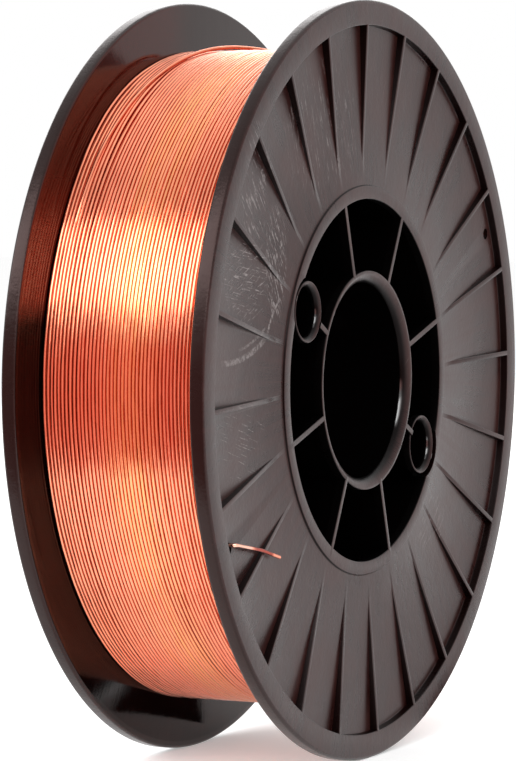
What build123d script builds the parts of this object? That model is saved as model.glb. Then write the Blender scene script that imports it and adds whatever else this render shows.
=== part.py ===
from build123d import *
from math import cos, radians, sin
import os

# Welding wire spool, wound, standing on the rims of its two flanges.
# Millimetres, +Z up, the origin at the middle of the bore. The bore runs along Y, and the
# front flange, the one that the wire comes out of, faces -Y.

# Hub: bore tube, webs and the two drive-pin tubes
bore_d = 51.5               # turns freely on a 50 mm hub
bore_wall = 3.2             # bore tube wall
bore_chamfer = 1.1          # lead-in at both mouths of the bore
tube_depth = 1.5            # ends of the bore tube below the rim band
web_count = 8               # flat webs between the bore tube and the barrel
web_t = 1.5                 # web thickness
web_depth = 1.5             # web edges below the rim band
pin_count = 2               # drive-pin holes, opposite each other
pin_centres_w = 82.0        # between the centres of the drive-pin holes
pin_d = 12.8                # drive-pin hole
pin_wall = 1.55             # pin tube wall
pin_chamfer = 0.6           # lead-in at the mouths of the pin holes
pin_depth = 1.9             # ends of the pin tubes below the rim band
pin_relief_w = 1.35         # width of the pocket round each pin tube's mouth
pin_relief_depth = 4.0      # depth of that pocket below the collar

# Barrel and the round opening in its end
opening_gap = 0.4           # opening beyond the pin holes
barrel_wall = 3.7           # barrel wall under the wire
collar_w = 3.6              # raised ring round the opening
collar_depth = 1.5          # collar below the rim band

# Wire
wire_d = 1.0                # solid wire
winding_depth = 35.2        # from the first turns to the outermost ones on a full spool
barrel_gap = 0.15           # first turns clear of the barrel
lead_gap = 0.1              # wire's end clear of the flange that it runs along
lead_turn = 18.0            # degrees that it runs before the exit hole
lead_depth = 2.5            # depth in the winding where that run starts
bend_radius = 1.2           # sharp bends at the exit hole, on the wire's centre line
exit_count = 2              # exit holes in the front flange, opposite each other
exit_d = 3.0                # exit hole
exit_offset = 3.3           # exit holes inwards of the rim band
wire_offset = 0.85          # wire above the middle of its hole, near the hole's edge
tail_len = 25.5             # free end outside, from the hole to the tip
tail_angle = -13.8          # its direction on the front face
cross_offset = 12.5         # it meets a rib this far inwards of the hole
cross_gap = 0.05            # and passes over that rib with this to spare

# Flanges
spool_w = 56.0              # over both flanges
flange_height = 13.15       # flanges stand this far above the outermost turns
flange_t = 4.0              # at the rim band
rim_w = 6.7                 # flat band along the outside edge
rim_chamfer = 0.6           # broken outside edges of both flanges
panel_depth = 2.1           # panel floor below the rim band
rib_count = 24              # stiffening ribs on each flange
rib_t = 1.35                # rib thickness
rib_gap = 6.1               # sloping ribs run out into the panel this far from the collar

# Angles on the front face, counter-clockwise from the first rib
stand_turn = 2.2            # first rib above level, as the spool happens to stand
web_turn = 15.0             # first web, in line with the second rib
pin_turn = 150.0            # first pin tube, in line with a web
exit_turn = 202.5           # exit hole that the wire uses, midway between two ribs

# Worked out from the sizes above, from the hub outwards to the standard 200 mm flange
tube_d = bore_d + 2 * bore_wall
pin_tube_d = pin_d + 2 * pin_wall
opening_d = pin_centres_w + 2 * opening_gap + pin_d
barrel_d = opening_d + 2 * barrel_wall
winding_d = barrel_d + 2 * (barrel_gap + winding_depth)
flange_d = winding_d + 2 * flange_height
rim_inner_d = flange_d - 2 * rim_w
rib_end_d = opening_d + 2 * (collar_w + rib_gap)
exit_circle_r = rim_inner_d / 2 - exit_offset
half_w = spool_w / 2
inner_face = half_w - flange_t
panel_floor = half_w - panel_depth
collar_top = half_w - collar_depth

# The spool's own frame: z along its axis out of the front flange, x along the first rib
middle = Plane(
    origin=(0, 0, 0),
    x_dir=(cos(radians(stand_turn)), 0, sin(radians(stand_turn))),
    z_dir=(0, -1, 0),
)
axle = Axis(middle.origin, middle.z_dir)
section = Plane(origin=middle.origin, x_dir=middle.x_dir, z_dir=-middle.y_dir)

# One stiffening rib in the spool's own frame: full height at the rim band, sloping down to
# the panel near the hub
with BuildPart() as rib:
    with BuildSketch(Plane.XZ):
        with BuildLine():
            Polyline(
                (rib_end_d / 2, panel_floor),
                (rim_inner_d / 2, half_w),
                (rim_inner_d / 2 + rim_w / 2, half_w),
                (rim_inner_d / 2 + rim_w / 2, panel_floor),
                close=True,
            )
        make_face()
    extrude(amount=rib_t / 2, both=True)

# Spool, moulded as one piece: its front half is built, then mirrored
with BuildPart(middle) as spool:
    with BuildSketch(section):
        with BuildLine():
            Polyline(
                (opening_d / 2, 0),
                (barrel_d / 2, 0),
                (barrel_d / 2, inner_face),
                (flange_d / 2, inner_face),
                (flange_d / 2, half_w),
                (rim_inner_d / 2, half_w),
                (rim_inner_d / 2, panel_floor),
                (opening_d / 2 + collar_w, panel_floor),
                (opening_d / 2 + collar_w, collar_top),
                (opening_d / 2, collar_top),
                close=True,
            )
        make_face()
    revolve(axis=axle)
    rim_edges = spool.edges().filter_by(
        lambda edge: edge.geom_type == GeomType.CIRCLE and abs(edge.radius - flange_d / 2) < 0.01
    )
    chamfer(rim_edges, length=rim_chamfer)
    with PolarLocations(0, rib_count):
        add(rib.part)

    # pockets that leave the mouths of the pin tubes standing free of the barrel
    with BuildSketch(middle.offset(collar_top)):
        with PolarLocations(pin_centres_w / 2, pin_count, start_angle=pin_turn):
            Circle(pin_tube_d / 2 + pin_relief_w)
    extrude(amount=-pin_relief_depth, mode=Mode.SUBTRACT)

    # webs, bore tube and pin tubes, solid until the holes are cut
    with BuildSketch(middle):
        with PolarLocations((tube_d + opening_d) / 4, web_count, start_angle=web_turn):
            Rectangle((opening_d - tube_d + barrel_wall) / 2, web_t)
    extrude(amount=half_w - web_depth)
    with BuildSketch(middle):
        Circle(tube_d / 2)
    extrude(amount=half_w - tube_depth)
    with BuildSketch(middle):
        with PolarLocations(pin_centres_w / 2, pin_count, start_angle=pin_turn):
            Circle(pin_tube_d / 2)
    extrude(amount=half_w - pin_depth)
    # lead-in of the pin holes, which also trims the webs that stand above the pin tubes
    with BuildSketch(middle.offset(half_w - pin_depth - pin_chamfer)):
        with PolarLocations(pin_centres_w / 2, pin_count, start_angle=pin_turn):
            Circle(pin_d / 2)
    extrude(amount=pin_chamfer, taper=-45, mode=Mode.SUBTRACT)
    with BuildSketch(middle.offset(half_w - pin_depth)):
        with PolarLocations(pin_centres_w / 2, pin_count, start_angle=pin_turn):
            Circle(pin_d / 2 + pin_chamfer)
    extrude(amount=pin_depth, mode=Mode.SUBTRACT)
    # lead-in of the bore
    with BuildSketch(middle.offset(half_w - tube_depth - bore_chamfer)):
        Circle(bore_d / 2)
    extrude(amount=bore_chamfer, taper=-45, mode=Mode.SUBTRACT)
    mirror(about=middle)

    Hole(bore_d / 2)
    with PolarLocations(pin_centres_w / 2, pin_count, start_angle=pin_turn):
        Hole(pin_d / 2)
    with BuildSketch(middle.offset(half_w)):
        with PolarLocations(exit_circle_r, exit_count, start_angle=exit_turn):
            Circle(exit_d / 2)
    extrude(amount=-flange_t, mode=Mode.SUBTRACT)

spool.part.label = "spool"

# Wire: the wound turns are one turned ring, which the wire's own end leaves to run along the
# flange, out through the lower exit hole, and bent over flat across a rib
lead_height = inner_face - lead_gap - wire_d / 2
rib_slope = panel_depth / (rim_inner_d / 2 - rib_end_d / 2)
rib_top = half_w - rib_slope * (exit_offset + cross_offset)
tail_height = rib_top + cross_gap + wire_d / 2
exit_x = exit_circle_r * cos(radians(exit_turn))
exit_y = exit_circle_r * sin(radians(exit_turn)) + wire_offset
lead_x = (winding_d / 2 - lead_depth) * cos(radians(exit_turn + lead_turn))
lead_y = (winding_d / 2 - lead_depth) * sin(radians(exit_turn + lead_turn))
tip_x = exit_x + tail_len * cos(radians(tail_angle))
tip_y = exit_y + tail_len * sin(radians(tail_angle))

with BuildPart(middle) as wire:
    with BuildSketch(section):
        with BuildLine():
            Polyline(
                (barrel_d / 2 + barrel_gap, -inner_face),
                (winding_d / 2, -inner_face),
                (winding_d / 2, inner_face),
                (barrel_d / 2 + barrel_gap, inner_face),
                close=True,
            )
        make_face()
    revolve(axis=axle)
    with BuildLine(middle) as end_route:
        FilletPolyline(
            (lead_x, lead_y, lead_height),
            (exit_x, exit_y, lead_height),
            (exit_x, exit_y, tail_height),
            (tip_x, tip_y, tail_height),
            radius=bend_radius,
        )
    with BuildSketch(Plane(origin=end_route.line @ 0, z_dir=end_route.line % 0)):
        Circle(wire_d / 2)
    sweep(path=end_route.line)

wire.part.label = "wire"

os.makedirs("parts", exist_ok=True)
for piece in (spool, wire):
    export_step(piece.part, f"parts/{piece.part.label}.step")
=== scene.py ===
import math
import random

import bpy
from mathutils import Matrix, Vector

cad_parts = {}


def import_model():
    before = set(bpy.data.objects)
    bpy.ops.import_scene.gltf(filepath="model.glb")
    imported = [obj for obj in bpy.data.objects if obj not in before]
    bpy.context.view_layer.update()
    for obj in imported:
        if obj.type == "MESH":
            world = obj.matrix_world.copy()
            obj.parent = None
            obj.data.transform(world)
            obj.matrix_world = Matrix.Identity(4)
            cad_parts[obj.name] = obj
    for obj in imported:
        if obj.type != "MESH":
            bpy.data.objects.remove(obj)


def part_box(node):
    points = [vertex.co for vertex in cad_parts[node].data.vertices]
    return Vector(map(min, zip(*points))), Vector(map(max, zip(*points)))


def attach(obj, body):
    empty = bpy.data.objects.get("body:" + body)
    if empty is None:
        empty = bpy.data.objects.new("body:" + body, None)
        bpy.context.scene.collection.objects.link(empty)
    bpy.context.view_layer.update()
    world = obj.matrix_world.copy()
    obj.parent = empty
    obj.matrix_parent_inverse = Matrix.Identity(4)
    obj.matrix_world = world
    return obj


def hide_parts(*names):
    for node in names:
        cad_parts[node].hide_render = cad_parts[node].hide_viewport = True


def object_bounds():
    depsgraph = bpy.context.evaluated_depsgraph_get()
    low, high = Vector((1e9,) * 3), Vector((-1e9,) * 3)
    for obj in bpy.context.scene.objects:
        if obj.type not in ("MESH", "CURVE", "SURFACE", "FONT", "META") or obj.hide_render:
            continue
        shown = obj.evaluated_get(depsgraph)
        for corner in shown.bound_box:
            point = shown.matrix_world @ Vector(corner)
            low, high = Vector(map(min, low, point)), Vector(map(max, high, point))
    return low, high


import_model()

cad_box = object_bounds()
mm = 0.001


# Studio: a plain white floor and room, and five soft lamps. A warm card beside the winding and a
# black one on the floor are out of the camera's sight, and only the bright wire and the plastic
# mirror them. The camera stands to the left of the front flange and looks slightly down.
camera_place = Vector((-920.65, -440.89, 51.74)) * mm
camera_look = Vector((0.89851, 0.43595, -0.05125))
focal_pixels = 3831.0
frame_height_pixels = 761
sensor = 36.0
white = (1.0, 1.0, 1.0)
room_light = 0.75
room_seen = 1.0
floor_size = 12.0
floor_level = cad_box[0][2]
floor_colour = (0.82, 0.82, 0.82)
floor_glow = 0.34


def plain_material(name, colour, roughness=0.5, specular=0.5):
    """Material with a Principled shader of one colour, and that shader's node."""
    material = bpy.data.materials.new(name)
    material.use_nodes = True
    shader = material.node_tree.nodes["Principled BSDF"]
    shader.inputs["Base Color"].default_value = (*colour, 1.0)
    shader.inputs["Roughness"].default_value = roughness
    shader.inputs["Specular IOR Level"].default_value = specular
    return material, shader


def seen_directly(tree):
    """Socket that is 1 for camera, glossy and transmission rays and 0 for the others."""
    path = tree.nodes.new("ShaderNodeLightPath")
    total = path.outputs["Is Camera Ray"]
    for ray in ("Is Glossy Ray", "Is Transmission Ray"):
        either = tree.nodes.new("ShaderNodeMath")
        either.operation = "MAXIMUM"
        tree.links.new(total, either.inputs[0])
        tree.links.new(path.outputs[ray], either.inputs[1])
        total = either.outputs[0]
    return total


def soft_box(name, place, aim, wide, high, watts):
    """Rectangular lamp at a place, turned towards a point."""
    bpy.ops.object.light_add(type="AREA", location=place)
    lamp = bpy.context.object
    lamp.name = name
    lamp.rotation_euler = (Vector(aim) - Vector(place)).to_track_quat("-Z", "Y").to_euler()
    lamp.data.shape = "RECTANGLE"
    lamp.data.size = wide
    lamp.data.size_y = high
    lamp.data.energy = watts


def unseen_card(name, place, turn, wide, long, colour, glow_colour=white, glow=0.0):
    """Flat card that only mirrors see: the camera doesn't, and it throws no shadow."""
    bpy.ops.mesh.primitive_grid_add(
        x_subdivisions=2, y_subdivisions=2, size=1.0, location=place, rotation=turn)
    board = bpy.context.object
    board.name = name
    board.scale = (wide, long, 1.0)
    bpy.ops.object.transform_apply()
    material, shader = plain_material(name, colour, roughness=1.0, specular=0.0)
    shader.inputs["Emission Color"].default_value = (*glow_colour, 1.0)
    shader.inputs["Emission Strength"].default_value = glow
    board.data.materials.append(material)
    board.visible_camera = False
    board.visible_diffuse = False
    board.visible_shadow = False
    return board


bpy.ops.object.select_all(action="DESELECT")
camera_turn = camera_look.to_track_quat("-Z", "Y").to_euler()
bpy.ops.object.camera_add(location=camera_place, rotation=camera_turn)
camera = bpy.context.object
camera.data.sensor_width = sensor
camera.data.lens = focal_pixels * sensor / frame_height_pixels
camera.data.clip_end = 20.0
bpy.context.scene.camera = camera
bpy.context.scene.view_settings.view_transform = "Standard"

world = bpy.data.worlds.new("white_room")
bpy.context.scene.world = world
world.use_nodes = True
tree = world.node_tree
lighting = tree.nodes["Background"]
backdrop = tree.nodes.new("ShaderNodeBackground")
for room, strength in ((lighting, room_light), (backdrop, room_seen)):
    room.inputs["Color"].default_value = (*white, 1.0)
    room.inputs["Strength"].default_value = strength
pick = tree.nodes.new("ShaderNodeMixShader")
tree.links.new(seen_directly(tree), pick.inputs["Fac"])
tree.links.new(lighting.outputs[0], pick.inputs[1])
tree.links.new(backdrop.outputs[0], pick.inputs[2])
tree.links.new(pick.outputs[0], tree.nodes["World Output"].inputs["Surface"])

bpy.ops.mesh.primitive_grid_add(
    x_subdivisions=8, y_subdivisions=8, size=floor_size, location=(0, 0, floor_level))
floor = bpy.context.object
floor.name = "floor"
bpy.ops.object.transform_apply()
material, shader = plain_material("pale_floor", floor_colour, roughness=0.9, specular=0.1)
tree = material.node_tree
glow = tree.nodes.new("ShaderNodeEmission")
glow.inputs["Strength"].default_value = floor_glow
dark = tree.nodes.new("ShaderNodeEmission")
dark.inputs["Strength"].default_value = 0.0
pick = tree.nodes.new("ShaderNodeMixShader")
both = tree.nodes.new("ShaderNodeAddShader")
tree.links.new(seen_directly(tree), pick.inputs["Fac"])
tree.links.new(dark.outputs[0], pick.inputs[1])
tree.links.new(glow.outputs[0], pick.inputs[2])
tree.links.new(shader.outputs[0], both.inputs[0])
tree.links.new(pick.outputs[0], both.inputs[1])
tree.links.new(both.outputs[0], tree.nodes["Material Output"].inputs["Surface"])
floor.data.materials.append(material)

card = unseen_card(
    "warm_card", place=(-0.2575, 0.0, -0.01), turn=(0, 1.107, 0), wide=0.19, long=1.6,
    colour=(0.1, 0.1, 0.1), glow_colour=(1.0, 0.46, 0.42), glow=0.85)
flag = unseen_card(
    "black_flag", place=(0.177, -0.077, floor_level + 0.001), turn=(0, 0, -0.454), wide=0.36, long=0.030,
    colour=(0.05, 0.02, 0.02))

soft_box("soft_box_left", (-1.085, 0.1, 0.885), (-0.09, 0.0, 0.03), wide=5.0, high=0.70, watts=46.5)
soft_box("soft_box_low", (-0.15, 0.0, -0.098), (-0.15, 0.0, 1.0), wide=0.13, high=1.2, watts=0.15)
soft_box("soft_box_top", (0.35, -0.35, 1.7), (0.0, 0.0, 0.0), wide=1.8, high=1.4, watts=3.0)
soft_box("soft_box_right", (1.45, -0.75, 0.32), (0.0, 0.0, 0.0), wide=1.6, high=0.8, watts=0.4)
soft_box("soft_box_back", (1.25, 0.85, 0.80), (0.0, 0.0, 0.05), wide=1.6, high=1.1, watts=12.0)


# Spool: one injection moulding in dark grey plastic. Each flange has a flat rim band, a panel
# sunk below it and a raised collar round the open barrel. Every outside edge is slightly rounded,
# as the mould leaves it. Sizes are in millimetres, and angles are those of the front face.
_, spool_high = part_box("spool")
flange_r = spool_high.z / mm
half_w = spool_high.y / mm
flange_t = 4.0
inner_face = half_w - flange_t
rim_w = 6.7
rim_inner_r = flange_r - rim_w
rim_chamfer = 0.6
panel_depth = 2.1
panel_floor = half_w - panel_depth
opening_r = 47.8
collar_w = 3.6
collar_r = opening_r + collar_w
collar_depth = 1.5
collar_top = half_w - collar_depth
barrel_wall = 3.7
barrel_r = opening_r + barrel_wall
stand_turn = math.radians(2.2)
edge_round = 0.35
flange_steps = 288


def only(piece):
    """Makes one object the only one selected, and the active one."""
    bpy.ops.object.select_all(action="DESELECT")
    piece.select_set(True)
    bpy.context.view_layer.objects.active = piece


def turned(name, profile, steps, capped=False):
    """Lathes a profile of (radius, place along the axle) round the bore, in millimetres."""
    bpy.ops.object.select_all(action="DESELECT")
    radius, along = profile[0]
    bpy.ops.mesh.primitive_circle_add(vertices=steps, radius=radius * mm, rotation=(math.pi / 2, 0, 0))
    piece = bpy.context.object
    piece.name = name
    bpy.ops.object.transform_apply()
    bpy.ops.object.mode_set(mode="EDIT")
    bpy.ops.mesh.select_all(action="SELECT")
    bpy.ops.transform.translate(value=(0, along * mm, 0))
    for next_radius, next_along in profile[1:] + ([] if capped else profile[:1]):
        bpy.ops.mesh.extrude_region_move(
            TRANSFORM_OT_translate={"value": (0, (next_along - along) * mm, 0)})
        ratio = next_radius / radius
        bpy.ops.transform.resize(value=(ratio, 1, ratio), center_override=(0, 0, 0))
        radius, along = next_radius, next_along
    bpy.ops.mesh.select_all(action="SELECT")
    bpy.ops.mesh.remove_doubles(threshold=0.01 * mm)
    if capped:
        bpy.ops.mesh.fill_holes(sides=0)
    bpy.ops.mesh.normals_make_consistent(inside=False)
    bpy.ops.object.mode_set(mode="OBJECT")
    return piece


def rounded(piece, width, segments=3):
    """Rounds every sharp edge of a piece."""
    only(piece)
    bpy.ops.object.modifier_add(type="BEVEL")
    bevel = piece.modifiers[-1]
    bevel.width = width * mm
    bevel.segments = segments
    bevel.limit_method = "ANGLE"
    bevel.angle_limit = math.radians(25)
    bpy.ops.object.modifier_apply(modifier=bevel.name)


front_half = [
    (opening_r, -collar_top), (collar_r, -collar_top), (collar_r, -panel_floor),
    (rim_inner_r, -panel_floor), (rim_inner_r, -half_w), (flange_r - rim_chamfer, -half_w),
    (flange_r, rim_chamfer - half_w), (flange_r, -inner_face - rim_chamfer),
    (flange_r - rim_chamfer, -inner_face), (barrel_r, -inner_face)]
back_half = [(radius, -along) for radius, along in reversed(front_half)]
spool = turned("moulded_spool", front_half + back_half, flange_steps)
rounded(spool, edge_round)


# Ribs: 24 on the outer face of each flange, moulded with it. Each is as high as the rim band
# that it runs into, and slopes down to the panel near the hub.
rib_count = 24
rib_t = 1.35
rib_end_r = 57.5
rib_root = 1.0
rib_in_band = 0.9
rib_below_band = 0.02
rib_round = 0.22


def block(name, low, high):
    """Box between two corners, in millimetres."""
    bpy.ops.object.select_all(action="DESELECT")
    bpy.ops.mesh.primitive_cube_add(size=1.0)
    piece = bpy.context.object
    piece.name = name
    piece.scale = [(h - l) * mm for l, h in zip(low, high)]
    piece.location = [(h + l) / 2 * mm for l, h in zip(low, high)]
    bpy.ops.object.transform_apply()
    return piece


def placed_round(piece, count, start):
    """Turns a piece about the bore to its start angle and repeats it all round."""
    only(piece)
    piece.rotation_euler = (0, -start, 0)
    bpy.ops.object.transform_apply()
    bpy.ops.object.mode_set(mode="EDIT")
    bpy.ops.mesh.select_all(action="SELECT")
    share = 2 * math.pi / count
    bpy.ops.mesh.spin(
        steps=count - 1, dupli=True, angle=share * (count - 1), center=(0, 0, 0), axis=(0, 1, 0))
    bpy.ops.object.mode_set(mode="OBJECT")


def carved(piece, tool, operation):
    """Joins a tool body to a piece, or cuts it out, and removes the tool."""
    only(piece)
    bpy.ops.object.modifier_add(type="BOOLEAN")
    boolean = piece.modifiers[-1]
    boolean.operation = operation
    boolean.solver = "EXACT"
    boolean.object = tool
    bpy.ops.object.modifier_apply(modifier=boolean.name)
    bpy.data.objects.remove(tool)


for side in (-1, 1):
    ends = sorted((side * (panel_floor - rib_root), side * half_w))
    rib = block("rib", (rib_end_r, ends[0], -rib_t / 2), (rim_inner_r, ends[1], rib_t / 2))
    only(rib)
    bpy.ops.object.mode_set(mode="EDIT")
    bpy.ops.mesh.select_all(action="DESELECT")
    bpy.ops.object.mode_set(mode="OBJECT")
    for face in rib.data.polygons:
        face.select = face.normal.x > 0.9
    bpy.ops.object.mode_set(mode="EDIT")
    bpy.ops.mesh.extrude_region_move(
        TRANSFORM_OT_translate={"value": (rib_in_band * mm, -side * rib_below_band * mm, 0)})
    bpy.ops.mesh.select_all(action="DESELECT")
    bpy.ops.object.mode_set(mode="OBJECT")
    for vertex in rib.data.vertices:
        at_foot = vertex.co.x < (rib_end_r + 1) * mm
        vertex.select = at_foot and abs(vertex.co.y) > (half_w - 0.1) * mm
    bpy.ops.object.mode_set(mode="EDIT")
    bpy.ops.transform.translate(value=(0, -side * (half_w - panel_floor) * mm, 0))
    bpy.ops.object.mode_set(mode="OBJECT")
    rounded(rib, rib_round, 2)
    placed_round(rib, rib_count, stand_turn)
    carved(spool, rib, "UNION")


# Hub: a bore tube on eight flat webs in the open barrel, and two drive-pin tubes that stand
# free of its wall in pockets, all moulded with the flanges. The mouths of the bore and of the
# pin holes are rounded over, and the wire comes out through one of two exit holes.
bore_r = 25.75
bore_lip_w = 2.3
bore_lip_depth = 2.6
bore_steps = 192
lip_start = math.radians(38)
lip_steps = 7
tube_r = bore_r + 3.2
tube_end = half_w - 1.5
tube_round = 0.3
pin_circle_r = 41.0
pin_turn = stand_turn + math.radians(150)
pin_r = 6.4
pin_lip_w = 1.2
pin_lip_depth = 1.6
pin_steps = 64
pin_tube_r = pin_r + 1.55
pin_tube_end = half_w - 1.9
pocket_r = pin_tube_r + 1.35
pocket_floor = collar_top - 4.0
web_count = 8
web_turn = stand_turn + math.radians(15)
web_t = 1.5
web_end = half_w - 1.5
web_in_wall = 1.2
web_round = 0.2
exit_circle_r = 90.0
exit_turn = stand_turn + math.radians(202.5)
exit_r = 1.5
exit_steps = 32
cutter_over = 1.0


def moved_to(piece, radius, turn):
    """Moves a piece off the axle, to a radius and an angle of the front face."""
    only(piece)
    piece.location = (radius * math.cos(turn) * mm, 0, radius * math.sin(turn) * mm)
    bpy.ops.object.transform_apply()


for half_turn in (0, math.pi):
    for side in (-1, 1):
        profile = [(pocket_r, side * pocket_floor), (pocket_r, side * (half_w + cutter_over))]
        pocket = turned("pocket", profile, pin_steps, capped=True)
        moved_to(pocket, pin_circle_r, pin_turn + half_turn)
        carved(spool, pocket, "DIFFERENCE")

web_low = (tube_r - web_in_wall, -web_end, -web_t / 2)
web_high = (opening_r + web_in_wall, web_end, web_t / 2)
web = block("web", web_low, web_high)
rounded(web, web_round, 2)
placed_round(web, web_count, web_turn)
carved(spool, web, "UNION")

tube = turned("bore_tube", [(tube_r, -tube_end), (tube_r, tube_end)], bore_steps, capped=True)
rounded(tube, tube_round)
carved(spool, tube, "UNION")
for half_turn in (0, math.pi):
    profile = [(pin_tube_r, -pin_tube_end), (pin_tube_r, pin_tube_end)]
    tube = turned("pin_tube", profile, pin_steps, capped=True)
    rounded(tube, tube_round)
    moved_to(tube, pin_circle_r, pin_turn + half_turn)
    carved(spool, tube, "UNION")


def hole_body(name, hole_r, lip_w, lip_depth, end, steps):
    """Body of a hole right through the spool. Its mouths are rounded, but keep a crisp outer edge."""
    mouth = [(hole_r + lip_w, half_w + cutter_over)]
    for step in range(lip_steps + 1):
        angle = lip_start + (math.pi / 2 - lip_start) * step / lip_steps
        width = lip_w * (1 - math.sin(angle)) / (1 - math.sin(lip_start))
        depth = lip_depth * (math.cos(lip_start) - math.cos(angle)) / math.cos(lip_start)
        mouth.append((hole_r + width, end - depth))
    profile = [(radius, -along) for radius, along in mouth] + mouth[::-1]
    return turned(name, profile, steps, capped=True)


bore = hole_body("bore", bore_r, bore_lip_w, bore_lip_depth, tube_end, bore_steps)
carved(spool, bore, "DIFFERENCE")

# the web stands a little above the front end of each pin tube, and its outer side comes off there
trim_w = 2.4
trim_gap = 0.01
trim_low = (pin_circle_r + pin_r - 1.0, -half_w - cutter_over, -trim_w / 2)
trim_high = (opening_r + 1.4, -pin_tube_end - trim_gap, trim_w / 2)
for half_turn in (0, math.pi):
    trim = block("trim", trim_low, trim_high)
    only(trim)
    trim.rotation_euler = (0, -pin_turn - half_turn, 0)
    bpy.ops.object.transform_apply()
    carved(spool, trim, "DIFFERENCE")

for half_turn in (0, math.pi):
    pin_hole = hole_body("pin_hole", pin_r, pin_lip_w, pin_lip_depth, pin_tube_end, pin_steps)
    moved_to(pin_hole, pin_circle_r, pin_turn + half_turn)
    carved(spool, pin_hole, "DIFFERENCE")
    profile = [(exit_r, -half_w - cutter_over), (exit_r, cutter_over - inner_face)]
    exit_hole = turned("exit_hole", profile, exit_steps, capped=True)
    moved_to(exit_hole, exit_circle_r, exit_turn + half_turn)
    carved(spool, exit_hole, "DIFFERENCE")


# Finish of the spool: satin plastic, with marks of its flow, paler patches and a fine grain. The
# front face is scratched and rubbed. Its side walls, the insides of the flanges and the hub are
# given painted shade: a darker colour and a weaker reflection, nearly black in the hub. A feeder's
# hub and its pin polish the mouths of the bore and the pin holes.
plastic_ior = 1.37
flow_dark = (0.014, 0.0025, 0.0020)
flow_pale = (0.026, 0.0065, 0.0055)
patch_colour = (0.040, 0.013, 0.011)
grain_colour = (0.030, 0.021, 0.020)
scratch_colour = (0.22, 0.19, 0.185)
painted_shade_walls_colour = (0.0030, 0.0007, 0.0006)
painted_hub_shade_colour = (0.0007, 0.0005, 0.0005)
painted_copper_reflection_colour = (0.075, 0.0065, 0.003)
face_tint = (1.0, 0.9, 0.9)
painted_recess_shade_tint = (0.3, 0.25, 0.25)
painted_hub_shade_tint = (0.10, 0.09, 0.09)
painted_reflection_tint = (1.0, 0.62, 0.50)
high_painted_reflection_tint = (0.80, 0.42, 0.36)
painted_rim_reflection_tint = (0.98, 0.68, 0.65)
polish_ior = 2.0
polish_roughness = 0.14
grain_depth = 0.00004
flow_depth = 0.00002
patch_depth = 0.00025
flow_round = 34.0
flow_out = (17.0, 9.0)
flow_through = 90.0
pin_end_r = 10.5
winding_top_r = 86.6

# lean in degrees, length and width in millimetres, the noise between which a stroke fades in,
# the oval that it lies in (its middle and half its size, in millimetres), and strength
scratches = [
    (-8, 6.0, 0.36, 0.60, 0.66, (-73, 29, 14, 11), 1.0),
    (24, 5.0, 0.40, 0.62, 0.68, (-70, 27, 16, 13), 0.8),
    (-60, 4.5, 0.60, 0.53, 0.60, (-55, 32, 7, 16), 0.9),
    (-14, 8.0, 0.40, 0.62, 0.68, (-74, -12, 14, 12), 0.7),
    (42, 6.0, 0.70, 0.56, 0.66, (43, -40, 11, 10), 0.5),
    (-50, 6.0, 0.70, 0.55, 0.63, (-68, 52, 9, 18), 0.8),
    (-70, 7.0, 0.60, 0.58, 0.68, (-28, 66, 26, 20), 0.5)]
scattered_scratches = (65, 20.0, 0.35, 0.66, 0.74)
scattered_strength = 0.25
# middle of the ring, its radius and half the width of its line, the oval as above, and strength
curved_rubs = [
    (-82.8, 54.9, 47.0, 1.0, (-72, 9, 15, 7), 0.75),
    (-82.8, 54.9, 44.6, 0.5, (-68, 13, 10, 5), 0.5),
    (-40.0, 5.0, 22.0, 0.6, (-57, 19, 7, 6), 0.8)]
# ovals on the rounded mouths of the bore and of the two pin holes
polished_ovals = [(24.9, -8.5, 4.0, 8.5), (-30.2, 17.1, 2.0, 3.0), (42.4, -21.1, 2.0, 4.0)]


def calculated(tree, operation, *values):
    """Result of one calculation on shader sockets and plain numbers."""
    node = tree.nodes.new("ShaderNodeMath")
    node.operation = operation
    for socket, value in zip(node.inputs, values):
        if isinstance(value, (int, float)):
            socket.default_value = value
        else:
            tree.links.new(value, socket)
    return node.outputs[0]


def chained(tree, operation, first, *others):
    """One calculation carried on through all the values: their product, sum or highest."""
    for other in others:
        first = calculated(tree, operation, first, other)
    return first


def joined(tree, *values):
    """Vector from up to three sockets."""
    node = tree.nodes.new("ShaderNodeCombineXYZ")
    for socket, value in zip(node.inputs, values):
        tree.links.new(value, socket)
    return node.outputs[0]


def scaled(tree, value, factor):
    """Socket multiplied by a plain number."""
    return calculated(tree, "MULTIPLY", value, factor)


def squares_added(tree, first, second):
    """Square of the distance that two sockets give, at right angles to each other."""
    square = calculated(tree, "MULTIPLY", first, first)
    return calculated(tree, "ADD", square, calculated(tree, "MULTIPLY", second, second))


def stepped(tree, value, low, high, start=0.0, end=1.0):
    """Value taken smoothly from start to end as the socket goes from low to high."""
    node = tree.nodes.new("ShaderNodeMapRange")
    node.interpolation_type = "SMOOTHSTEP"
    for name, number in (("From Min", low), ("From Max", high), ("To Min", start), ("To Max", end)):
        node.inputs[name].default_value = number
    tree.links.new(value, node.inputs["Value"])
    return node.outputs["Result"]


def past(tree, value, edge, fade):
    """0 up to an edge in millimetres, and 1 where the fade that starts there has ended."""
    return stepped(tree, value, edge * mm, (edge + fade) * mm)


def before(tree, value, edge, fade):
    """1 up to an edge in millimetres, and 0 where the fade that starts there has ended."""
    return stepped(tree, value, edge * mm, (edge + fade) * mm, start=1.0, end=0.0)


def cloudy(tree, vector, size, detail, rough):
    """Noise between 0 and 1."""
    node = tree.nodes.new("ShaderNodeTexNoise")
    node.inputs["Scale"].default_value = size
    node.inputs["Detail"].default_value = detail
    node.inputs["Roughness"].default_value = rough
    tree.links.new(vector, node.inputs["Vector"])
    return node.outputs["Fac"]


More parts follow.
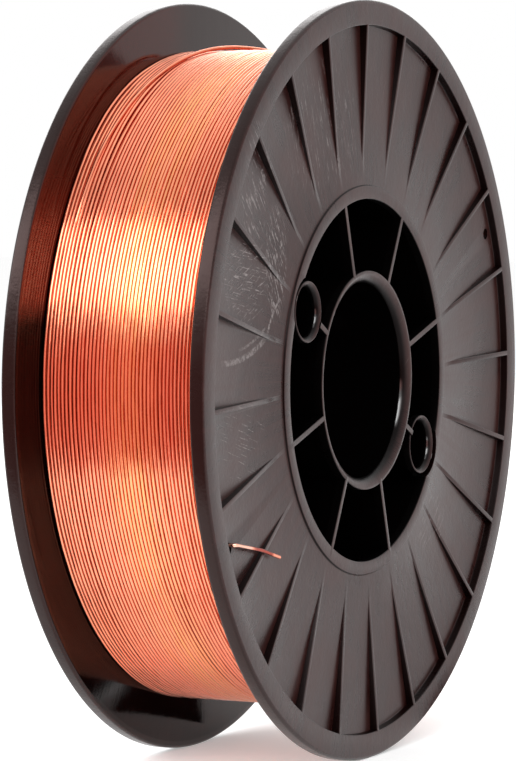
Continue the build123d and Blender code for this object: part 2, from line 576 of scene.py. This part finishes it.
def object_places(tree):
    """Place on the object, its three parts, its distance from the axle, and the way there."""
    place = tree.nodes.new("ShaderNodeTexCoord").outputs["Object"]
    split = tree.nodes.new("ShaderNodeSeparateXYZ")
    tree.links.new(place, split.inputs[0])
    x, y, z = split.outputs
    radius = calculated(tree, "SQRT", squares_added(tree, x, z))
    round_x = calculated(tree, "DIVIDE", x, radius)
    round_z = calculated(tree, "DIVIDE", z, radius)
    return place, x, y, z, radius, round_x, round_z


def blended(tree, amount, first, second):
    """Colour between two colours or sockets by an amount."""
    node = tree.nodes.new("ShaderNodeMix")
    node.data_type = "RGBA"
    tree.links.new(amount, node.inputs["Factor"])
    for socket, colour in ((node.inputs[6], first), (node.inputs[7], second)):
        if isinstance(colour, tuple):
            socket.default_value = (*colour, 1.0)
        else:
            tree.links.new(colour, socket)
    return node.outputs[2]


def bumped(tree, shader, height, depth, beneath=None, amount=None):
    """Bump of a depth in metres, on top of an earlier one, in full or only where an amount is 1."""
    node = tree.nodes.new("ShaderNodeBump")
    node.inputs["Distance"].default_value = depth
    tree.links.new(height, node.inputs["Height"])
    if amount:
        tree.links.new(amount, node.inputs["Strength"])
    if beneath:
        tree.links.new(beneath, node.inputs["Normal"])
    tree.links.new(node.outputs[0], shader.inputs["Normal"])
    return node.outputs[0]


def strokes(tree, x, z, lean, long, wide, low, high):
    """Thin broken scratches that all lean one way on the face of a flange."""
    lean = math.radians(lean)
    along = calculated(tree, "MULTIPLY_ADD", x, math.cos(lean), scaled(tree, z, math.sin(lean)))
    across = calculated(tree, "MULTIPLY_ADD", x, -math.sin(lean), scaled(tree, z, math.cos(lean)))
    vector = joined(tree, scaled(tree, along, 1 / (long * mm)), scaled(tree, across, 1 / (wide * mm)))
    noise = cloudy(tree, vector, size=1.0, detail=1.0, rough=0.5)
    return stepped(tree, noise, low, high)


def near(tree, x, z, middle_x, middle_z, half_x, half_z):
    """1 inside an oval on the face of a flange, falling to 0 at its edge."""
    off_x = calculated(tree, "DIVIDE", calculated(tree, "SUBTRACT", x, middle_x * mm), half_x * mm)
    off_z = calculated(tree, "DIVIDE", calculated(tree, "SUBTRACT", z, middle_z * mm), half_z * mm)
    return stepped(tree, squares_added(tree, off_x, off_z), 0.45, 1.0, start=1.0, end=0.0)


def ring_mark(tree, x, z, middle_x, middle_z, ring_r, half_width):
    """Curved rub mark, part of a ring on the face of a flange."""
    off_x = calculated(tree, "SUBTRACT", x, middle_x * mm)
    off_z = calculated(tree, "SUBTRACT", z, middle_z * mm)
    far = calculated(tree, "SQRT", squares_added(tree, off_x, off_z))
    away = calculated(tree, "ABSOLUTE", calculated(tree, "SUBTRACT", far, ring_r * mm))
    return before(tree, away, 0.4 * half_width, fade=0.6 * half_width)


only(spool)
bpy.ops.object.shade_smooth_by_angle(angle=math.radians(30))
material, shader = plain_material("dark_grey_plastic", (0.010, 0.005, 0.0045))
shader.inputs["IOR"].default_value = plastic_ior
shader.inputs["Coat IOR"].default_value = polish_ior
shader.inputs["Coat Roughness"].default_value = polish_roughness
tree = material.node_tree
place, x, y, z, radius, round_x, round_z = object_places(tree)
off_middle = calculated(tree, "ABSOLUTE", y)
facing = tree.nodes.new("ShaderNodeSeparateXYZ")
tree.links.new(tree.nodes.new("ShaderNodeNewGeometry").outputs["Normal"], facing.inputs[0])
faces_along_axle = calculated(tree, "ABSOLUTE", facing.outputs["Y"])

# the marks of the flow run out from the hub: they change quickly round the axle, slowly outwards
flow_x = calculated(tree, "MULTIPLY_ADD", round_x, flow_round, scaled(tree, radius, flow_out[0]))
flow_z = calculated(tree, "MULTIPLY_ADD", round_z, flow_round, scaled(tree, radius, flow_out[1]))
flow_place = joined(tree, flow_x, scaled(tree, y, flow_through), flow_z)
flow = cloudy(tree, flow_place, size=1.0, detail=6.0, rough=0.7)
patches = cloudy(tree, place, size=45.0, detail=4.0, rough=0.6)
grain = cloudy(tree, place, size=1300.0, detail=3.0, rough=0.6)

marks = []
for *stroke, oval, strength in scratches:
    marks.append((strokes(tree, x, z, *stroke), near(tree, x, z, *oval), strength))
for *ring, oval, strength in curved_rubs:
    marks.append((ring_mark(tree, x, z, *ring), near(tree, x, z, *oval), strength))
scattered = strokes(tree, x, z, *scattered_scratches)
marks.append((scattered, stepped(tree, patches, low=0.45, high=0.6), scattered_strength))
rubbed = chained(tree, "MAXIMUM", *[chained(tree, "MULTIPLY", *mark) for mark in marks])
on_front = before(tree, y, -25.0, fade=0.5)
gaps = cloudy(tree, place, size=1100.0, detail=2.0, rough=0.6)
broken = stepped(tree, gaps, low=0.40, high=0.60, start=0.15, end=1.0)
rubbed = chained(tree, "MULTIPLY", rubbed, on_front, broken)

side_wall = stepped(tree, faces_along_axle, low=0.55, high=0.95, start=1.0, end=0.0)
inner_side = before(tree, off_middle, inner_face + 0.1, fade=0.2)
deep = before(tree, off_middle, tube_end - 3.0, fade=2.0)
# painted shade in the hub: its inside and its walls are coloured nearly black and reflect very little
in_hub = chained(tree, "MULTIPLY", before(tree, radius, opening_r, fade=0.4), deep)
hub_wall = chained(tree, "MULTIPLY", side_wall, before(tree, radius, opening_r + 0.2, fade=0.4))
painted_hub_shade = chained(tree, "MAXIMUM", in_hub, hub_wall)
# painted shade: side walls, the insides of the flanges and the hub are darkened
painted_shade_walls = chained(tree, "MAXIMUM", side_wall, inner_side, in_hub)
# painted shade: in recesses the reflection is made weaker and greyer
painted_recess_shade = chained(tree, "MULTIPLY", painted_shade_walls, before(tree, radius, flange_r - 2.0, fade=0.4))
# painted reflection: the outer side of each rim keeps a full reflection, tinted warm
outside_edge = chained(tree, "MULTIPLY", side_wall, past(tree, radius, flange_r - 1.6, fade=0.4))

# the ends of the bore tube and of the pin tubes, and the arcs of them that are polished
pin_x = pin_circle_r * math.cos(pin_turn)
pin_z = pin_circle_r * math.sin(pin_turn)
pin_ends = [near(tree, x, z, side * pin_x, side * pin_z, pin_end_r, pin_end_r) for side in (1, -1)]
mouths = chained(tree, "MAXIMUM", before(tree, radius, tube_r - 0.55, fade=0.3), *pin_ends)
lip_floor = tube_end - bore_lip_depth
mouths = chained(tree, "MULTIPLY", mouths, past(tree, off_middle, lip_floor - 0.5, fade=0.8))
arcs = chained(tree, "MAXIMUM", *[near(tree, x, z, *oval) for oval in polished_ovals])
steep = stepped(tree, faces_along_axle, low=0.25, high=0.60, start=1.0, end=0.0)
polished = chained(tree, "MULTIPLY", mouths, arcs, steep)

# painted reflection: the inside of the flange above the winding has its reflection tinted copper, as if
# it mirrored the wire, and on the back flange its colour is painted copper-red as well
band = chained(tree, "MULTIPLY", inner_side, past(tree, radius, winding_top_r, fade=0.4))
mirror_start = past(tree, z, 16.0, fade=8.0)
mirror_end = stepped(tree, z, low=0.040, high=0.060, start=1.0, end=0.35)
painted_reflection_band = chained(tree, "MULTIPLY", band, mirror_start, mirror_end)
high_band = chained(tree, "MULTIPLY", band, past(tree, z, 55.0, fade=15.0))
back_left = chained(tree, "MULTIPLY", before(tree, x, -20.0, fade=20.0), past(tree, y, 0.0, fade=10.0))
painted_copper_reflection = chained(tree, "MULTIPLY", painted_reflection_band, back_left)

shade = blended(tree, stepped(tree, flow, low=0.35, high=0.68), flow_dark, flow_pale)
shade = blended(tree, stepped(tree, patches, low=0.42, high=0.66, end=0.6), shade, patch_colour)
shade = blended(tree, stepped(tree, grain, low=0.60, high=0.75, end=0.5), shade, grain_colour)
shade = blended(tree, rubbed, shade, scratch_colour)
shade = blended(tree, painted_shade_walls, shade, painted_shade_walls_colour)
shade = blended(tree, painted_hub_shade, shade, painted_hub_shade_colour)
shade = blended(tree, painted_copper_reflection, shade, painted_copper_reflection_colour)
tree.links.new(shade, shader.inputs["Base Color"])

tint = blended(tree, painted_recess_shade, face_tint, painted_recess_shade_tint)
not_mouths = calculated(tree, "SUBTRACT", 1.0, mouths)
tint = blended(tree, chained(tree, "MULTIPLY", painted_hub_shade, not_mouths), tint, painted_hub_shade_tint)
tint = blended(tree, painted_reflection_band, tint, painted_reflection_tint)
tint = blended(tree, high_band, tint, high_painted_reflection_tint)
tint = blended(tree, outside_edge, tint, painted_rim_reflection_tint)
tree.links.new(tint, shader.inputs["Specular Tint"])
tree.links.new(polished, shader.inputs["Coat Weight"])

gloss = chained(
    tree, "ADD",
    stepped(tree, flow, low=0.3, high=0.7, start=0.27, end=0.32),
    stepped(tree, patches, low=0.3, high=0.7, start=-0.03, end=0.05),
    scaled(tree, inner_side, -0.23),
    stepped(tree, radius, (flange_r - 1.0) * mm, (flange_r - 0.5) * mm, end=-0.05),
    scaled(tree, rubbed, 0.25))
tree.links.new(gloss, shader.inputs["Roughness"])

smooth_inside = calculated(tree, "SUBTRACT", 1.0, scaled(tree, inner_side, 0.85))
relief = bumped(tree, shader, grain, grain_depth, amount=smooth_inside)
relief = bumped(tree, shader, flow, flow_depth, relief)
bumped(tree, shader, patches, patch_depth, relief, smooth_inside)
spool.data.materials.append(material)
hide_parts("spool")
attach(spool, "root")


# Wound turns: about 5 kg of copper-coated steel wire, one millimetre thick, wound in layers of
# 45 turns until the spool is full. This is the top layer, whose turns lie a little apart and
# spread in a wedge near the upper left, where the last turns ride up.
wire_r = 0.5
wire_d = 2 * wire_r
turn_count = 45
first_turn = 0.55 - inner_face
layer_r = 86.35
layer_lift = 0.45
slack = 2.15
wedge_gap = 37
wedge_turn = math.radians(124)
wedge_spread = math.radians(16)
wedge_w = 0.7
fan_gap = 43
fan_turn = math.radians(125)
fan_spread = math.radians(12)
fan_w = 0.45
last_turn_rise = 0.3
last_turn_span = 1.2
last_turns_rise = 0.25
last_turns_span = 5.0
turn_steps = 144
# how unevenly each turn lies: height in millimetres, waves in a radian and where they start
waves = [(0.03, 7.31, 0), (0.02, 12.77, 1), (0.012, 19.63, 2)]

side_copper = (0.87, 0.275, 0.165)
middle_copper = (0.885, 0.36, 0.158)
pale_turn = (0.90, 0.32, 0.19)
deep_cloud = (0.86, 0.25, 0.135)
drawn_line = (0.72, 0.20, 0.105)
painted_groove_shade = (0.70, 0.115, 0.055)
painted_bend_highlight_colour = (0.95, 0.50, 0.38)
dark_red = (0.34, 0.035, 0.014)
drawn_depth = 0.00001
turn_depth = 0.00025


def bump(turn, middle, spread):
    """Smooth hump of height 1 round an angle."""
    away = (turn - middle + math.pi) % (2 * math.pi) - math.pi
    return math.exp(-0.5 * (away / spread) ** 2)


def layer_at(turn):
    """Radius of the top layer's middle line at an angle: the winding stands a little high."""
    return layer_r + layer_lift * math.sin(turn)


def round_axle(radius, along, turn):
    """Point at a radius and an angle, in millimetres."""
    return (radius * math.cos(turn), along, radius * math.sin(turn))


def tube_along(name, points, radius, sides_step):
    """Round wire along a list of points in millimetres."""
    curve = bpy.data.curves.new(name, "CURVE")
    curve.dimensions = "3D"
    spline = curve.splines.new("POLY")
    spline.points.add(len(points) - 1)
    for point, place in zip(spline.points, points):
        point.co = (place[0] * mm, place[1] * mm, place[2] * mm, 1.0)
    curve.bevel_depth = radius * mm
    curve.bevel_resolution = sides_step
    curve.use_fill_caps = True
    piece = bpy.data.objects.new(name, curve)
    bpy.context.collection.objects.link(piece)
    only(piece)
    bpy.ops.object.convert(target="MESH")
    bpy.ops.object.shade_smooth()
    return bpy.context.object


# each gap gets its own share of the slack, mostly small, and grows and shrinks round the spool
dice = random.Random(11)
gap_share = [dice.random() ** 2.5 + 0.08 for _ in range(turn_count + 1)]
gap_phase = [dice.random() * 2 * math.pi for _ in range(turn_count + 1)]


def gaps_at(turn):
    """Width of each gap between neighbouring turns at an angle."""
    wedge = wedge_w * bump(turn, wedge_turn, wedge_spread)
    loose = [share * (1.15 + math.sin(turn * 2 + phase)) for share, phase in zip(gap_share, gap_phase)]
    spare = slack - wedge
    total = sum(loose)
    gaps = [spare * share / total for share in loose]
    gaps[wedge_gap] += wedge
    gaps[fan_gap] += fan_w * bump(turn, fan_turn, fan_spread)
    return gaps


sums = []
for step in range(turn_steps):
    gaps = gaps_at(2 * math.pi * step / turn_steps)
    heap = [0.0]
    for gap in gaps:
        heap.append(heap[-1] + gap)
    sums.append((gaps, heap))
points = []
for index in range(turn_count * turn_steps):
    turn_number, step = divmod(index, turn_steps)
    turn = 2 * math.pi * step / turn_steps
    gaps, heap = sums[step]
    along = first_turn + turn_number * wire_d + heap[turn_number]
    along += step / turn_steps * (wire_d + gaps[turn_number])
    turns_left = turn_count - 1 - turn_number
    rise = bump(turn, fan_turn, fan_spread) * (
        last_turn_rise * math.exp(-(turns_left / last_turn_span) ** 2)
        + last_turns_rise * math.exp(-(turns_left / last_turns_span) ** 4))
    whole = 2 * math.pi * turn_number + turn
    wave = sum(height * math.sin(rate * whole + start) for height, rate, start in waves)
    points.append(round_axle(layer_at(turn) + rise + wave, along, turn))
top_layer = tube_along("wound_turns", points, wire_r, 3)

copper, shader = plain_material("copper_coated_wire", (0.88, 0.29, 0.155))
shader.inputs["Metallic"].default_value = 1.0
tree = copper.node_tree
place, x, y, z, radius, round_x, round_z = object_places(tree)
off_middle = calculated(tree, "ABSOLUTE", y)


def along_turns(around, across, detail, rough):
    """Noise that is drawn out along the turns: slow round the axle and quick across them."""
    vector = joined(
        tree, scaled(tree, round_x, around), scaled(tree, y, across), scaled(tree, round_z, around))
    return cloudy(tree, vector, size=1.0, detail=detail, rough=rough)


each_turn = along_turns(2.2, 1000.0, detail=2.0, rough=0.6)
drawn = along_turns(14.0, 4200.0, detail=3.0, rough=0.7)
clouds = cloudy(tree, place, size=24.0, detail=3.0, rough=0.5)
middle_line = calculated(tree, "MULTIPLY_ADD", round_z, layer_lift * mm, layer_r * mm)
crest = calculated(tree, "SUBTRACT", radius, middle_line)
outside = past(tree, off_middle, inner_face - 0.2, fade=0.2)
# painted shade: below the crest of each turn, down in the grooves between turns, the wire is coloured
# darker and redder
clear_of_groove_shade = chained(tree, "MAXIMUM", past(tree, crest, -0.05, fade=0.35), outside)
middle = before(tree, calculated(tree, "ABSOLUTE", calculated(tree, "ADD", y, 1.0 * mm)), 1.0, fade=10.0)
# the end outside the flange has a painted highlight at its bend, and is dark red where it lies on the
# rib
outer = before(tree, y, -26.2, fade=0.6)
painted_bend_highlight = chained(tree, "MULTIPLY", outer, before(tree, x, -74.0, fade=2.5))
reddened = chained(
    tree, "MULTIPLY", outer, past(tree, x, -73.5, fade=3.5), before(tree, x, -62.0, fade=2.0))

shade = blended(tree, middle, side_copper, middle_copper)
shade = blended(tree, stepped(tree, each_turn, low=0.35, high=0.7), shade, pale_turn)
shade = blended(tree, stepped(tree, clouds, low=0.45, high=0.7, end=0.5), shade, deep_cloud)
shade = blended(tree, stepped(tree, drawn, low=0.55, high=0.8, end=0.35), shade, drawn_line)
shade = blended(tree, clear_of_groove_shade, painted_groove_shade, shade)
shade = blended(tree, painted_bend_highlight, shade, painted_bend_highlight_colour)
shade = blended(tree, reddened, shade, dark_red)
tree.links.new(shade, shader.inputs["Base Color"])
gloss = calculated(
    tree, "ADD",
    stepped(tree, each_turn, low=0.3, high=0.7, start=0.12, end=0.20),
    stepped(tree, drawn, low=0.4, high=0.8, end=0.08))
tree.links.new(gloss, shader.inputs["Roughness"])
relief = bumped(tree, shader, drawn, drawn_depth)
bumped(tree, shader, along_turns(9.0, 700.0, detail=1.0, rough=0.5), turn_depth, relief)

top_layer.data.materials.append(copper)
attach(top_layer, "root")
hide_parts("wire")


# Turns beneath: the layer under the top one, the same wire, wound the other way along the
# spool. It is seen only through the gaps between the top turns.
under_depth = 0.87
under_offset = 0.3
under_steps = 96

points = []
for index in range(turn_count * under_steps):
    turn = 2 * math.pi * index / under_steps
    along = first_turn + under_offset + (turn_count * under_steps - index) / under_steps * wire_d
    points.append(round_axle(layer_at(turn) - under_depth, along, turn))
under_layer = tube_along("turns_beneath", points, wire_r, 1)
under_layer.data.materials.append(copper)
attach(under_layer, "root")


# Core: all the turns further down, between the barrel and the two layers that are modelled one
# by one. They are the same wire, wound tight, and no single turn of them is seen.
core_in_r = barrel_r + 0.15
core_out_r = layer_r - 1.9
core_end = inner_face - 0.1
core_steps = 144

profile = [
    (core_in_r, -core_end), (core_out_r, -core_end), (core_out_r, core_end), (core_in_r, core_end)]
core = turned("wound_core", profile, core_steps)
core.data.materials.append(copper)
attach(core, "root")


# Wire's end: the last turn of the same wire. It leaves the back flange, crosses over the others
# to the front one and follows it round to the lower exit hole. It goes out through that, is
# bent over sharply by hand, and lies across a rib.
# angle in degrees, height above the top layer's middle line, place along the axle
crossing = [
    (166, -1.0, 20.6), (156, -0.4, 20.2), (146, 0.3, 19.6), (136, 0.85, 19.0), (128.5, 0.95, 18.4),
    (122, 1.0, 17.8), (115, 1.05, 16.9), (107, 1.15, 15.7), (99.5, 1.2, 14.5), (92, 1.3, 12.4),
    (86, 1.3, 9.6), (78, 1.25, 4.0), (70, 1.15, -3.0), (60, 1.05, -12.0), (51, 0.95, -19.0),
    (43, 0.9, -22.3), (34, 0.87, -23.3), (20, 0.87, -23.45), (0, 0.87, -23.45), (-30, 0.87, -23.45),
    (-60, 0.87, -23.45), (-90, 0.87, -23.45), (-120, 0.87, -23.45), (-140, 0.87, -23.45),
    (-148, 0.95, -23.45)]
# places on the way out through the hole and over the rib, in millimetres
way_out = [
    (-78.5, -23.4, -40.4), (-80.9, -23.5, -37.6), (-81.6, -24.6, -36.9), (-81.6, -26.2, -36.8),
    (-81.3, -27.3, -36.75), (-80.3, -27.6, -36.85), (-75.0, -27.6, -37.75), (-69.8, -27.6, -38.65),
    (-66.3, -27.6, -39.3), (-61.5, -27.6, -40.55), (-56.6, -27.6, -41.8)]


def smooth_path(places, steps_between):
    """Points on a smooth line through all the places given."""
    line = []
    ends = [places[0]] + list(places) + [places[-1]]
    for four in zip(ends, ends[1:], ends[2:], ends[3:]):
        for step in range(steps_between):
            t = step / steps_between
            point = []
            for a, b, c, d in zip(*four):
                curve = (2 * a - 5 * b + 4 * c - d) * t * t + (3 * b - a - 3 * c + d) * t ** 3
                point.append(0.5 * (2 * b + (c - a) * t + curve))
            line.append(tuple(point))
    line.append(tuple(places[-1]))
    return line


points = []
for degrees, height, along in smooth_path(crossing, 6):
    turn = math.radians(degrees)
    points.append(round_axle(layer_at(turn) + height, along, turn))
points += smooth_path([points[-1]] + way_out, 5)[1:]
wire_end = tube_along("wire_end", points, wire_r, 3)
wire_end.data.materials.append(copper)
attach(wire_end, "root")
